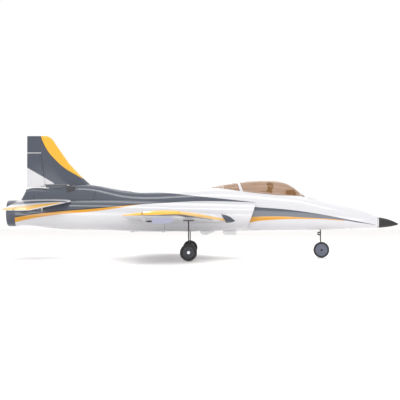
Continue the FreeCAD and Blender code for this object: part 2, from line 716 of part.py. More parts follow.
def fan_unit(front, back):
    centre = V(0, 0, THRUST_Z)
    outer = FAN_BORE + FAN_WALL
    shell = turned_x([(front, FAN_BORE), (front, outer), (back, outer), (back, FAN_BORE)])
    vanes = []
    for i in range(5):
        vane = box((back + 2, back + 18), (-0.9, 0.9), (11.4, FAN_BORE + 0.5))
        vane.rotate(V(0, 0, 0), V(1, 0, 0), 72 * i + 36)
        vanes.append(vane.translated(centre))
    ring = turned_x([(back, 11.5), (back, 12.9), (back + 20, 12.9), (back + 20, 11.5)])
    housing = fuse([shell, ring] + vanes)
    motor = turned_x([(back + 19, 0), (back + 19, 11.4), (back - 12, 11.4), (back - 24, 8.5),
                      (back - 36, 3.5), (back - 38, 0)])
    shaft = cylinder(V(back + 19, 0, THRUST_Z), V(back + 36, 0, THRUST_Z), 1.5)
    motor = motor.fuse(shaft)

    hub_back, hub_front = back + 20.6, back + 36.0
    hub = turned_x([(hub_back, 0), (hub_back, HUB_RADIUS), (hub_front, HUB_RADIUS), (hub_front, 0)])
    spinner = turned_x([(hub_front, 0), (hub_front, HUB_RADIUS), (hub_front + 5, HUB_RADIUS - 1.2),
                        (hub_front + 10, HUB_RADIUS - 4.6), (hub_front + 13, 3.0), (hub_front + 14, 0)])
    middle = (hub_back + hub_front) / 2
    blades = []
    for i in range(BLADE_COUNT):
        sections = []
        for radius, half_chord, pitch in ((HUB_RADIUS - 1, 6.6, 35), (BLADE_RADIUS + 1, 6.4, 58)):
            a = math.radians(pitch)
            chord = V(math.cos(a), math.sin(a), 0) * half_chord
            thick = V(-math.sin(a), math.cos(a), 0) * 0.55
            base = V(middle, 0, radius)
            corners = [base + chord - thick, base + chord + thick, base - chord + thick,
                       base - chord - thick]
            sections.append(Part.makePolygon(corners + [corners[0]]))
        blade = Part.makeLoft(sections, True, True)
        blade.rotate(V(0, 0, 0), V(1, 0, 0), 360 / BLADE_COUNT * i)
        blades.append(blade.translated(centre))
    reach = turned_x([(hub_back - 5, 0), (hub_back - 5, BLADE_RADIUS), (hub_front + 5, BLADE_RADIUS),
                      (hub_front + 5, 0)])
    bore = cylinder(V(back, 0, THRUST_Z), V(hub_front + 1.5, 0, THRUST_Z), 1.5 + RUNNING_GAP)
    rotor = fuse([hub, spinner] + [b.common(reach) for b in blades]).cut(bore)
    return housing, motor, rotor


def build_scoops(parts, skin):
    ahead = prism([V(45, 0, 64), V(45, 0, 57), V(50, 0, 52.6), V(75, 0, 52.6), V(75, 0, 64)], V(0, 19, 0))
    hollow = box((49, 90), (1.6, 17.4), (54.2, 62))
    intake = ahead.cut(hollow).translated(V(0, -9.5, 0))
    behind = prism([V(35, 0, 64), V(8.5, 0, 52.6), V(-1, 0, 52.6), V(-7, 0, 59), V(-7, 0, 64)], V(0, 24, 0))
    outlet = behind.cut(box((-20, 3), (1.8, 22.2), (54.6, 62))).translated(V(0, -12, 0))
    parts["belly_scoops"] = group([intake.cut(skin), outlet.cut(skin)])


def build_hatch(parts, block):
    x0, x1 = COCKPIT_X
    well = box((x0, x1), (-COCKPIT_HALF_WIDTH, COCKPIT_HALF_WIDTH), (COCKPIT_FLOOR_Z, 200))
    outer = body_loft(CANOPY, 2.1)
    inside = [(x, w - GLASS, low, mid, high - GLASS) for x, w, low, mid, high in CANOPY[1:-1]]
    inner = body_loft(inside, 2.1)
    glass = outer.cut(inner).cut(block).common(box((0, 240), (-40, 40), (136, 200)))
    parts["canopy_glass"] = max(glass.Solids, key=lambda s: s.Volume)
    tab = prism([V(240, -4, 137.0), V(257, -4, 134.6), V(257, -4, 136.0), V(240, -4, 139.4)], V(0, 8, 0))
    magnets = [cylinder(V(x, 0, HATCH_FLOOR_Z + HATCH_GAP), V(x, 0, HATCH_FLOOR_Z + HATCH_GAP + 3), 3)
               for x in (28, 236)]
    parts["canopy_hatch"] = group([cut_all(block, [well] + magnets), tab.cut(block)])
    tray = cockpit_tray().common(block)
    parts["cockpit_tray"] = tray
    parts["instrument_hood"] = instrument_hood().cut(tray)
    parts["pilot"] = pilot().cut(tray)
    parts["hatch_magnets"] = group(magnets)


def servo_pod(y):
    """A streamlined fairing below the wing, over the aileron servo."""
    stations = [(-105, 5.0, 79.8), (-99, 5.9, 78.5), (-78, 6.1, 78.4), (-68, 4.8, 80.2), (-59, 1.6, 85.2)]
    rings = [section(x, y, width, low, 90.0, 94.0, 3.0) for x, width, low in stations]
    return Part.makeLoft(rings, True, True)


def build_wings(parts, skin):
    hinge = wing_hinge()
    whole = left_wing()
    fixed, aileron = hinge.divide(whole, V(0, 0, 1))
    fixed = fixed.cut(skin)
    tongues = []
    for distance in (18, 90, 160):
        tongue, rooms = hinge.tongue(distance)
        aileron = cut_all(aileron, rooms)
        tongues.append(tongue)

    y = AILERON_SERVO_Y
    along = hinge.at(y - AILERON_Y)
    shaft = along + V(AILERON_ROD, 0, 0)
    linkage = Linkage(along, shaft, hinge.axis, V(0, 0, -AILERON_CRANK), rod_side=-1)
    middle, depth = wing_depth(AILERON_HINGE_X - 8, y)
    floor = middle.z - depth - along.z
    horn = linkage.horn([along + V(-3.5, 0, floor + 1.0), along + V(-12.0, 0, floor + 1.6)])
    case = box((shaft.x - 17, shaft.x + 6), (y + 2.8, y + 12.0), (81.0, shaft.z + 4.0))
    boss = cylinder(shaft + hinge.axis * 1.4, shaft + hinge.axis * 3.4, 2.2)
    servo = case.fuse(boss)
    slot = box((shaft.x - 7, shaft.x + 7), (y - 3.6, y + 2.2), (60, shaft.z + 3.6))
    pod = cut_all(servo_pod(y + 8.9), [whole, servo])

    spar = cylinder(wing_depth(-14, 61)[0], wing_depth(-62, 300)[0], 3.0)
    plate = box((MAIN_GEAR_X - 11, MAIN_GEAR_X + 11), (146, 183), MAIN_MOUNT_Z)
    wire, strut = main_strut()
    parts["wing_left"] = cut_all(fixed, [servo, slot, spar, plate] + tongues)
    parts["aileron_left"] = aileron.fuse(horn)
    parts["aileron_arm_left"] = linkage.arm()
    clevis = cylinder(linkage.pin(linkage.hinge, 3.4), linkage.pin(linkage.hinge, 14.0), 1.7)
    parts["aileron_rod_left"] = linkage.rod().fuse(clevis)
    pairs = {"gear_mounts": [plate.cut(wire)], "main_struts": [strut], "wing_servos": [servo],
             "servo_pods": [pod]}
    return pairs, spar, tongues


def build_stabilizer(parts, skin):
    """The left stabilizer and elevator with their linkage, servo, spar and hinges."""
    hinge = stab_hinge()
    fixed, elevator = hinge.divide(left_stab(), V(0, 0, 1), ELEVATOR_ROOT_GAP)
    fixed = fixed.cut(skin)
    tongues = []
    for distance in (28, 78, 128):
        tongue, rooms = hinge.tongue(distance)
        elevator = cut_all(elevator, rooms)
        tongues.append(tongue)
    along = hinge.at(ELEVATOR_HORN)
    down = V(1, 0, 0).cross(hinge.axis).normalize() * -1
    shaft = along + V(ELEVATOR_ROD, 0, 0) + down * 10
    linkage = Linkage(along, shaft, hinge.axis, down * ELEVATOR_CRANK)
    base = [along + V(-3.0, 0, 0) + down * 1.5, along + V(-10.0, 0, 0) + down * 1.0]
    case_y = shaft.y - 2.2
    case = box((shaft.x - 6, shaft.x + 16), (case_y - 9.0, case_y), (shaft.z - 6, shaft.z + 5))
    boss = cylinder(shaft - hinge.axis * 2.6, shaft - hinge.axis * 1.4, 2.2)
    servo = case.fuse(boss)
    recess = box((along.x - 8, shaft.x + 8), (shaft.y - 4.2, shaft.y + 12), (shaft.z - 15, shaft.z + 8))
    root = V(-350, STAB_ROOT_Y, STAB_ROOT_Z)
    spar = cylinder(root, root + hinge.axis * 118, 1.5)
    parts["stabilizer_left"] = cut_all(fixed, tongues + [spar, case])
    parts["elevator_left"] = elevator.fuse(linkage.horn(base))
    parts["elevator_arm_left"] = linkage.arm()
    parts["elevator_rod_left"] = linkage.rod()
    return servo, recess, spar, tongues


def build_fin(parts, skin):
    """The fin and rudder with their linkage, servo and hinges."""
    hinge = rudder_hinge()
    fin = fin_panel()
    foot, top = hinge.start, hinge.end
    across = V(0, 40, 0)
    back = V(-90, 0, 0)
    room = prism([foot + across, foot - across, foot - across + back, foot + across + back], top - foot)
    below = box((FIN_TRAIL_X - 20, foot.x + 8), (-40, 40), (140, foot.z))
    fixed = cut_all(fin, [skin, room, hinge.nose(0, hinge.length, CONTROL_GAP), below])
    rudder = fin.common(room).common(box((-500, -300), (-40, 40), (foot.z + 1.4, top.z - 1.4)))
    rudder = rudder.fuse(hinge.nose(1.6, hinge.length - 1.6, -NOSE_STEP)).removeSplitter()
    tongues = []
    for distance in (24, 66):
        tongue, rooms = hinge.tongue(distance)
        rudder = cut_all(rudder, rooms)
        tongues.append(tongue)
    along = hinge.at(RUDDER_HORN)
    shaft = V(RUDDER_SERVO[0], RUDDER_SERVO[1], along.z)
    linkage = Linkage(along, shaft, hinge.axis, V(0, -SIDE_CRANK, 0))
    base = [along + V(-3.0, -1.5, -0.4), along + V(-11.0, -1.2, -1.6)]
    case = box((-309, -290.5), (-16, -6), (149, shaft.z - 2.6))
    boss = cylinder(shaft - hinge.axis * 2.8, shaft - hinge.axis * 1.4, 2.2)
    servo = case.fuse(boss)
    well = box((-312, -289.5), (-32, -5.4), (shaft.z - 3.2, 190))
    parts["vertical_fin"] = cut_all(fixed, tongues + [servo])
    parts["rudder"] = rudder.fuse(linkage.horn(base))
    parts["rudder_arm"] = linkage.arm()
    parts["rudder_rod"] = linkage.rod()
    return servo, well, tongues


def build_nose_gear(parts):
    axis = V(0, 0, 1)
    pivot = V(NOSE_GEAR_X, 0, STEERING_Z)
    shaft = V(STEERING_SERVO_X, 0, STEERING_Z)
    linkage = Linkage(pivot, shaft, axis, V(0, -SIDE_CRANK, 0), rod_side=-1)
    plate = bar(pivot, pivot + linkage.crank, axis, 3.8, PLATE)
    linkage.arm_solid = plate.cut(linkage.eye(pivot, LINK_GAP))
    parts["nose_strut"] = nose_strut(linkage)
    block = box((NOSE_GEAR_X - 9, NOSE_GEAR_X + 9), (-14, 14), (67.8, 78.6))
    bore = cylinder(V(NOSE_GEAR_X, 0, 60), V(NOSE_GEAR_X, 0, 90), WIRE_RADIUS + RUNNING_GAP)
    parts["nose_gear_block"] = block.cut(bore)
    case = box((298, 321), (-6, 6), (87, 96))
    boss = cylinder(shaft + axis * 1.4, shaft + axis * 3.6, 2.3)
    parts["steering_servo"] = case.fuse(boss)
    parts["steering_arm"] = linkage.arm()
    parts["steering_rod"] = linkage.rod()
    centre = V(NOSE_AXLE_X, 0, WHEEL_RADIUS)
    parts["nose_tyre"] = tyre(centre, NOSE_TYRE_WIDTH, 13.4)
    parts["nose_hub"] = wheel_hub(centre, NOSE_TYRE_WIDTH, 13.4, 4.4, 10)


def build_bay(parts):
    floor = BAY_FLOOR_Z
    battery = box((58, 163), (-17, 17), (floor, floor + 25))
    parts["battery_pack"] = battery.makeFillet(2.5, [e for e in battery.Edges if e.Length > 100])
    strap = box((100, 118), (-18.4, 18.4), (floor, floor + 26.4))
    parts["battery_strap"] = strap.cut(box((99, 119), (-17, 17), (floor - 1, floor + 25)))
    parts["speed_controller"] = box((172, 214), (-13, 13), (floor, floor + 9))
    parts["receiver"] = box((174, 206), (-10, 10), (floor + 9, floor + 20))


def export(parts):
    os.makedirs("parts", exist_ok=True)
    for name, shape in parts.items():
        shape.exportStep("parts/" + name + ".step")


def report(parts):
    for name, shape in sorted(parts.items()):
        b = shape.BoundBox
        print(f"{name:22s} solids {len(shape.Solids)} valid {shape.isValid()} volume {shape.Volume:10.1f}"
              f"  x {b.XMin:.1f} {b.XMax:.1f} y {b.YMin:.1f} {b.YMax:.1f} z {b.ZMin:.1f} {b.ZMax:.1f}")


def main():
    parts = {}
    skin, hatch_block, shells = build_fuselage(parts)
    build_scoops(parts, skin)
    build_hatch(parts, hatch_block)
    build_bay(parts)
    pairs, wing_spar, wing_tongues = build_wings(parts, skin)
    tail_servo, recess, tail_spar, tail_tongues = build_stabilizer(parts, skin)
    rudder_servo, well, fin_tongues = build_fin(parts, skin)
    build_nose_gear(parts)
    parts["fuselage_front"] = shells["front"]
    parts["fuselage_middle"] = shells["middle"]
    parts["fuselage_tail"] = cut_all(
        shells["tail"], [tail_servo, mirror(tail_servo), recess, mirror(recess), rudder_servo, well])

    def both_sides(shapes):
        return list(shapes) + [mirror(shape) for shape in shapes]

    for name, shapes in pairs.items():
        parts[name] = group(both_sides(shapes))
    parts["tail_servos"] = group(both_sides([tail_servo]) + [rudder_servo])
    parts["spars"] = group(both_sides([wing_spar, tail_spar]))
    parts["control_hinges"] = group(both_sides(wing_tongues + tail_tongues) + fin_tongues)
    for name in [name for name in parts if name.endswith("_left")]:
        right = mirror(parts[name])
        if name in ("wing_left", "stabilizer_left"):
            right = right.cut(skin)
        parts[name.replace("_left", "_right")] = right

    for side, label in ((1, "left"), (-1, "right")):
        place = V(MAIN_GEAR_X, MAIN_WHEEL_Y * side, WHEEL_RADIUS)
        parts["main_tyre_" + label] = tyre(place, MAIN_TYRE_WIDTH, 12.4)
        parts["main_hub_" + label] = wheel_hub(place, MAIN_TYRE_WIDTH, 12.4, 4.0, 8)
    export(parts)
    report(parts)


main()
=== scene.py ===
"""Looks of a remote-control jet with a ducted fan: paint, canopy, wheels, small fittings and a studio."""

import json
import math

import bmesh
import bpy
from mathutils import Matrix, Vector

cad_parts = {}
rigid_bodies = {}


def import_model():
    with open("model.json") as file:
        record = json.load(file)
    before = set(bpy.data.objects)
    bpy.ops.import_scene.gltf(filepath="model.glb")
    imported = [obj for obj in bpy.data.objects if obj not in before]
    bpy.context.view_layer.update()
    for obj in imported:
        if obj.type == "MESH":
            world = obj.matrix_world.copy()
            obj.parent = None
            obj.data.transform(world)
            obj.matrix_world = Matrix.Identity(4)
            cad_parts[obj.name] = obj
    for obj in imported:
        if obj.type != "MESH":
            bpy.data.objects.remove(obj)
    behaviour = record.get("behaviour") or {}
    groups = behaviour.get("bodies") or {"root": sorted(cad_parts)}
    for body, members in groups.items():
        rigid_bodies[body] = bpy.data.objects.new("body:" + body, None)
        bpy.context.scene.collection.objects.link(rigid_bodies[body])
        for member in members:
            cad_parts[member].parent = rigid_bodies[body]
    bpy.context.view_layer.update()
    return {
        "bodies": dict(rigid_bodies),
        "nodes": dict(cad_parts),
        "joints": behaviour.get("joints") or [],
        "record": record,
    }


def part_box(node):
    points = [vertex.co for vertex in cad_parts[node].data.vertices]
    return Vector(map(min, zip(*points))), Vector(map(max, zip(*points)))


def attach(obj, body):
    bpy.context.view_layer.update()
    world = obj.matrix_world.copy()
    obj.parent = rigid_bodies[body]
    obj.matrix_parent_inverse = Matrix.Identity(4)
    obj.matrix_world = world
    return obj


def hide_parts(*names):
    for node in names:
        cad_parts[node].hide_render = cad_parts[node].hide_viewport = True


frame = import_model()

bl_info = {
    "name": "Ducted fan jet",
    "version": (1, 0, 0),
    "blender": (4, 5, 0),
    "location": "3D View > Sidebar > Jet",
    "description": "Paints and finishes a remote-control jet and sets up its studio",
    "category": "Object",
}

MM = 0.001


# ---------------------------------------------------------------- settings


class JetPaint(bpy.types.PropertyGroup):
    """Colours of the paint scheme."""

    white: bpy.props.FloatVectorProperty(
        name="White", description="Base coat", subtype="COLOR", size=4, default=(0.58, 0.58, 0.605, 1))
    grey: bpy.props.FloatVectorProperty(
        name="Slate", description="Dark grey of the back and fin", subtype="COLOR", size=4,
        default=(0.060, 0.070, 0.094, 1))
    amber: bpy.props.FloatVectorProperty(
        name="Amber", description="Amber of the side stripes", subtype="COLOR", size=4,
        default=(0.60, 0.27, 0.008, 1))
    yellow: bpy.props.FloatVectorProperty(
        name="Yellow", description="Yellow of the leading edges", subtype="COLOR", size=4,
        default=(0.72, 0.39, 0.035, 1))
    # Black for the thin lines and marks; in the servo well it is painted shade.
    black_ink_and_shade: bpy.props.FloatVectorProperty(
        name="Black", description="Thin lines and the servo well", subtype="COLOR", size=4,
        default=(0.012, 0.012, 0.014, 1))
    # Pale blue-grey for the servo pods is painted shade with a painted bluish reflection: the pods are
    # white, coloured as if in shadow.
    pale: bpy.props.FloatVectorProperty(
        name="Pale blue", description="Servo pods under the wing", subtype="COLOR", size=4,
        default=(0.42, 0.43, 0.58, 1))
    smoke: bpy.props.FloatVectorProperty(
        name="Canopy tint", description="Tint of the clear canopy", subtype="COLOR", size=4,
        default=(0.34, 0.165, 0.055, 1))


class JetSizes(bpy.types.PropertyGroup):
    """Sizes of the fine detail."""

    bead: bpy.props.FloatProperty(
        name="Foam bead", description="Size of the beads in the moulded foam", default=2.2 * MM,
        min=0.5 * MM, max=6 * MM, unit="LENGTH")
    seam: bpy.props.FloatProperty(
        name="Seam", description="Width of panel lines", default=0.5 * MM, min=0.1 * MM, max=2 * MM,
        unit="LENGTH")
    line: bpy.props.FloatProperty(
        name="Trim line", description="Width of the black lines along the stripes", default=2.0 * MM,
        min=0.3 * MM, max=4 * MM, unit="LENGTH")


# ---------------------------------------------------------------- shader expressions


class Reading:
    """A number that varies over a surface. Arithmetic on it adds Math nodes."""

    def __init__(self, recipe, socket):
        self.recipe = recipe
        self.socket = socket

    def math(self, operation, first, second=0.0, clamp=False):
        settings = {"operation": operation, "use_clamp": clamp}
        return self.recipe.add("ShaderNodeMath", settings, {0: first, 1: second})

    def __add__(self, other):
        return self.math("ADD", self, other)

    __radd__ = __add__

    def __sub__(self, other):
        return self.math("SUBTRACT", self, other)

    def __rsub__(self, other):
        return self.math("SUBTRACT", other, self)

    def __mul__(self, other):
        return self.math("MULTIPLY", self, other)

    __rmul__ = __mul__

    def __truediv__(self, other):
        return self.math("DIVIDE", self, other)

    def __abs__(self):
        return self.math("ABSOLUTE", self)

    def least(self, other):
        return self.math("MINIMUM", self, other)

    def most(self, other):
        return self.math("MAXIMUM", self, other)

    def above(self, edge, soft=0.5):
        """1 where this is above the edge, 0 below, over a short ramp."""
        return self.math("ADD", (self - edge) / soft, 0.5, clamp=True)

    def below(self, edge, soft=0.5):
        return 1 - self.above(edge, soft)

    def within(self, low, high, soft=0.5):
        return self.above(low, soft) * self.below(high, soft)

    def near(self, edge, width, soft=0.4):
        """1 in a band of the given width round the edge."""
        return abs(self - edge).below(width / 2, soft)


class Recipe:
    """A material made of one Principled shader and the nodes that feed it."""

    def __init__(self, name, **values):
        self.material = bpy.data.materials.new(name)
        self.material.use_nodes = True
        self.tree = self.material.node_tree
        self.shader = self.tree.nodes["Principled BSDF"]
        for socket, value in values.items():
            self.feed(socket, value)

    def feed(self, socket, value):
        """Sets or links one of the shader's sockets, named with underscores."""
        self.join(self.shader.inputs[socket.replace("_", " ")], value)

    def join(self, socket, value):
        if isinstance(value, Reading):
            self.tree.links.new(value.socket, socket)
        else:
            socket.default_value = value

    def add(self, kind, settings=None, inputs=None, output=0):
        """Adds a node of a type with its settings, then the values or links of its sockets."""
        node = self.tree.nodes.new(kind)
        for key, value in (settings or {}).items():
            if key == "curve":
                self.set_curve(node.mapping, value)
            else:
                setattr(node, key, value)
        for key, value in (inputs or {}).items():
            self.join(node.inputs[key], value)
        return Reading(self, node.outputs[output])

    def set_curve(self, mapping, points):
        curve = mapping.curves[0]
        curve.points[0].location = points[0]
        curve.points[1].location = points[-1]
        for point in points[1:-1]:
            curve.points.new(*point)
        mapping.use_clip = False
        mapping.update()

    def place(self):
        """X, Y and Z on the piece, in millimetres."""
        spot = self.add("ShaderNodeTexCoord", output=3)
        split = self.tree.nodes.new("ShaderNodeSeparateXYZ")
        self.tree.links.new(spot.socket, split.inputs[0])
        return [Reading(self, out) / MM for out in split.outputs]

    def along(self, reading, points):
        """A smooth curve through pairs of input and output, held beyond its ends."""
        points = sorted(points)
        start, span = points[0][0], points[-1][0] - points[0][0]
        low = min(p[1] for p in points)
        rise = max(p[1] for p in points) - low
        shares = [((a - start) / span, (b - low) / rise) for a, b in points]
        share = self.add("ShaderNodeMath", {"operation": "ADD", "use_clamp": True},
                         {0: (reading - start) / span, 1: 0.0})
        return self.add("ShaderNodeFloatCurve", {"curve": shares}, {1: share}) * rise + low

    def noise(self, scale, detail=3.0, rough=0.5, stretch=None):
        inputs = {"Scale": scale, "Detail": detail, "Roughness": rough}
        spot = self.add("ShaderNodeTexCoord", output=3)
        if stretch:
            spot = self.add("ShaderNodeMapping", None, {0: spot, 3: stretch})
        return self.add("ShaderNodeTexNoise", None, {0: spot, **inputs})

    def cells(self, scale):
        """Distance inside rounded cells, as between foam beads."""
        spot = self.add("ShaderNodeTexCoord", output=3)
        return self.add("ShaderNodeTexVoronoi", {"feature": "SMOOTH_F1"},
                        {0: spot, "Scale": scale, "Smoothness": 0.4})

    def coat(self, base, colour, mask):
        """One colour laid over another where the mask is 1."""
        return self.add("ShaderNodeMix", {"data_type": "RGBA"}, {0: mask, 6: base, 7: colour}, output=2)

    def shade(self, base, amount):
        """The base colour made darker or lighter by a number round 1."""
        grey = self.add("ShaderNodeCombineColor", None, {0: amount, 1: amount, 2: amount})
        return self.add("ShaderNodeMix", {"data_type": "RGBA", "blend_type": "MULTIPLY"},
                        {0: 1.0, 6: base, 7: grey}, output=2)

    def bump(self, height, distance, strength=1.0):
        bump = self.add("ShaderNodeBump", None,
                        {"Height": height, "Distance": distance, "Strength": strength})
        self.feed("Normal", bump)


# ---------------------------------------------------------------- the paint scheme


def sizes():
    return bpy.context.scene.jet_sizes


def paint():
    return bpy.context.scene.jet_paint


def foam_finish(recipe, colour, grooves=None, gloss=0.4):
    """Painted moulded foam: faint beads, a little dirt in the tone and a satin lacquer."""
    beads = recipe.cells(1 / sizes().bead)
    cloud = recipe.noise(9, 4)
    tone = 0.97 + cloud * 0.06 - beads * 0.03
    if grooves is not None:
        tone = tone * (1 - grooves * 0.55)
    recipe.feed("Base_Color", recipe.shade(colour, tone))
    recipe.feed("Roughness", 0.30 + cloud * 0.10 + beads * 0.05)
    height = beads * 0.10 + recipe.noise(420, 2) * 0.05
    if grooves is not None:
        height = height - grooves * 1.2
    recipe.bump(height, 0.25 * MM, 0.6)
    recipe.feed("Specular_IOR_Level", 0.16)
    recipe.feed("Coat_Weight", gloss)
    recipe.feed("Coat_Roughness", 0.09)
    return recipe.material


# Edges of the painted areas: X and Z, millimetres. FIN_EDGE has Z and X.
SHOULDER_TOP = [(-230, 190), (-170, 165), (-157, 149.5), (-88, 147.5), (-7, 139.2), (60, 132.4),
                (119, 125.6)]
SHOULDER_FOOT = [(-425, 91.6), (-335, 104.3), (-251, 110.9), (-197, 116.0), (-152, 120.4), (-81, 124.6),
                 (-7, 128.4), (119, 125.2)]
AMBER_FOOT = [(-425, 80.6), (-335, 97.3), (-251, 104.8), (-197, 111.9), (-152, 119.4), (-130, 122)]
CHEEK_TOP = [(86, 118.5), (115, 115.6), (189, 109.7), (275, 97.3), (335, 85.9), (389, 75.6)]
CHEEK_MIDDLE = [(86, 92.0), (105, 93.0), (161, 94.4), (232, 91.5), (304, 87.0), (350, 80.6), (389, 75.0)]
CHEEK_FOOT = [(86, 76.0), (101, 79.7), (147, 86.0), (232, 88.6), (313, 84.7), (340, 82.0)]
TAIL_SEAM = [(-302, 118), (-298.5, 122.5), (-293.5, 125), (-267, 128.8), (-252, 130.5), (-247, 133)]


def fuselage_paint(name="fuselage_paint"):
    """White fuselage with a slate back, amber side stripes and a dark wedge on each cheek."""
    shades, thin = paint(), sizes().line / MM
    recipe = Recipe(name)
    x, y, z = recipe.place()
    foot = recipe.along(x, SHOULDER_FOOT)
    amber_foot = recipe.along(x, AMBER_FOOT)
    aft = x.below(118, 1.0)
    amber = z.above(amber_foot, 0.6) * z.below(foot, 0.6) * x.below(-126, 1.0)
    colour = recipe.coat(shades.white, shades.amber, amber)
    slate = z.above(foot, 0.6) * z.below(recipe.along(x, SHOULDER_TOP), 0.8) * aft
    colour = recipe.coat(colour, shades.grey, slate)
    colour = recipe.coat(colour, shades.black_ink_and_shade, (z - foot).near(thin / 2, thin) * x.below(-85, 40.0))

    ahead = x.above(86, 0.8) * abs(y).below(39.5, 0.6)
    middle = recipe.along(x, CHEEK_MIDDLE)
    wedge = z.below(recipe.along(x, CHEEK_TOP), 0.6) * z.above(middle, 0.6) * ahead * x.below(389, 1)
    flash = z.below(middle, 0.6) * z.above(recipe.along(x, CHEEK_FOOT), 0.6) * ahead * x.below(318, 6)
    colour = recipe.coat(colour, shades.grey, wedge)
    colour = recipe.coat(colour, shades.amber, flash)

    rib = abs(x + 244.6 - (z - 143) * 0.2).below(0.55, 0.4) * z.within(132, 156, 0.6)
    sweep = recipe.along(x, TAIL_SEAM)
    rib = rib.most((z - sweep).near(0, 1.1) * x.within(-301, -247, 0.6))
    rib = rib.most(abs(x + 383.6).below(0.6, 0.4) * z.within(130, 143, 0.6))
    rib = rib.most((z - recipe.along(x, [(-398, 124), (-384, 130)])).near(0, 1.0) * x.within(-398, -384))
    colour = recipe.coat(colour, shades.black_ink_and_shade, rib * 0.9)
    # The rudder servo well is painted black over the slate: painted shade in the recess.
    well = x.within(-309.5, -291.5, 0.6) * z.within(157, 164.8, 0.6)
    colour = recipe.coat(colour, shades.black_ink_and_shade, well)

    seam = sizes().seam / MM
    cut = abs(x - 395.4).below(seam, 0.3).most(abs(x + 86).below(seam, 0.3) * z.below(78, 1))
    return foam_finish(recipe, colour, cut, 1.0)


FIN_EDGE = [(170, -246), (178, -267), (190, -291), (205, -315.7), (225, -337.7), (241, -351.6),
            (258.6, -362), (279, -370)]
FIN_FOOT = [(-401, 205.6), (-370, 187.9), (-339, 170.0)]


def fin_paint(name="fin_paint"):
    """Slate fin with a yellow leading edge and a white foot at the back."""
    shades = paint()
    recipe = Recipe(name)
    x, _, z = recipe.place()
    lead = x.above(recipe.along(z, FIN_EDGE), 0.6) * z.above(175.8, 0.6)
    colour = recipe.coat(shades.grey, shades.yellow, lead)
    colour = recipe.coat(colour, shades.black_ink_and_shade, (x - recipe.along(z, FIN_EDGE)).near(-0.6, 1.0) * z.above(176))
    foot = recipe.along(x, FIN_FOOT)
    # Ahead of x -357.5 the white foot starts only above z 167.3, so a slate strip runs along the fin base.
    white = z.below(foot, 0.6) * x.below(-339, 1.0) * (x.below(-357.5, 0.6).most(z.above(167.3, 0.6)))
    colour = recipe.coat(colour, shades.white, white)
    return foam_finish(recipe, colour)


WING_ROOT_Y = 62
WING_REACH = 313
WING_ROOT_LEAD = (52, 84.5)
WING_ROOT_TRAIL = (-167, 87)


def wing_paint(name="wing_paint"):
    """White wing with a yellow edge, a slate glove and panels, and a thin dark line just under the edge."""
    shades = paint()
    recipe = Recipe(name)
    x, y, z = recipe.place()
    out = abs(y)
    share = (out - WING_ROOT_Y) / WING_REACH
    lead, trail = WING_ROOT_LEAD[0] - share * 97, share * 11 + WING_ROOT_TRAIL[0]
    back = lead - x
    lead_z, trail_z = share * 14 + WING_ROOT_LEAD[1], share * 8 + WING_ROOT_TRAIL[1]
    above = z - (lead_z + (trail_z - lead_z) * (back / (lead - trail)))
    upper = above.above(0.6, 0.8)

    band = back.within(recipe.along(out, [(60, 12), (200, 34), (330, 70), (376, 84)]),
                       recipe.along(out, [(60, 26), (200, 62), (330, 130), (376, 150)]), 0.8)
    colour = recipe.coat(shades.white, shades.grey, band * upper * out.above(96, 1.0))
    colour = recipe.coat(colour, shades.black_ink_and_shade, (out - 326 + back * 0.3).near(0, 2.4) * upper)
    colour = recipe.coat(colour, shades.yellow, out.above(327 - back * 0.3, 0.8) * upper)

    top = recipe.along(out, [(62, 4.4), (150, 5.2), (260, 7.0), (330, 9.0)])
    nose = above.within(-1.0, top) * back.below(44, 1.0)
    tip = out.above(367.5, 0.6) * above.above(-1.0)
    colour = recipe.coat(colour, shades.yellow, nose.most(tip))
    # A thin black line on the underside just behind the leading edge and round the tip.
    dark_line_under_edge = above.within(-2.5, -1.0) * back.below(40, 4.0).most(out.above(368, 0.5)) * out.above(150, 20)
    colour = recipe.coat(colour, shades.black_ink_and_shade, dark_line_under_edge)
    glove = (x - 37.4 + (z - 101.8) * 0.6).above(0, 0.8) * out.below(76, 1.0)
    colour = recipe.coat(colour, shades.grey, glove)
    return foam_finish(recipe, colour)


def tail_paint(name="tail_paint"):
    """Stabilizer with slate, white and yellow bands above, and plain white below; the white strip along the
    root is a painted highlight.
    """
    shades = paint()
    recipe = Recipe(name)
    x, y, z = recipe.place()
    out = abs(y)
    lead = -296 - (out - 27) * 0.4825
    back = lead - x
    upper = (z - 128 + (out - 27) * 0.144).above(0.2, 0.6)
    inner = recipe.along(back, [(0, 46), (40, 74), (80, 92), (125, 100)])
    # Slate starts 40 mm out, which leaves a white strip along the root as a painted highlight.
    colour = recipe.coat(shades.white, shades.grey, out.below(inner, 0.8) * out.above(40, 1.0) * upper)
    colour = recipe.coat(colour, shades.black_ink_and_shade, (out - inner).near(4.0, 1.8) * upper)
    outer = recipe.along(back, [(0, 52), (22, 92), (62, 142), (125, 158)])
    colour = recipe.coat(colour, shades.yellow, out.above(outer, 0.8) * back.above(2.4, 0.6) * upper)
    dash = (out - outer + 9).near(0, 2.2) * back.within(24, 70, 1.0)
    colour = recipe.coat(colour, shades.black_ink_and_shade, dash * upper)
    colour = recipe.coat(colour, shades.yellow, out.above(165.5, 0.6) * upper)
    return foam_finish(recipe, colour)


# ---------------------------------------------------------------- other finishes


def moulded(name, colour, rough=0.42, grain=900, **values):
    """Moulded plastic with a fine spark-eroded grain and slight wear in the tone."""
    recipe = Recipe(name, **values)
    cloud = recipe.noise(40, 3)
    recipe.feed("Base_Color", recipe.shade(colour, 0.9 + cloud * 0.2))
    recipe.feed("Roughness", rough - 0.06 + cloud * 0.12)
    recipe.bump(recipe.noise(grain, 2), 0.05 * MM, 0.35)
    return recipe.material


def metal(name, colour, rough=0.28, brushed=(1, 1, 1)):
    """Drawn or turned metal with fine lines."""
    recipe = Recipe(name, Metallic=1.0)
    lines = recipe.noise(700, 3, 0.6, brushed)
    recipe.feed("Base_Color", recipe.shade(colour, 0.85 + lines * 0.25))
    recipe.feed("Roughness", rough + lines * 0.12)
    recipe.bump(lines, 0.03 * MM, 0.3)
    return recipe.material


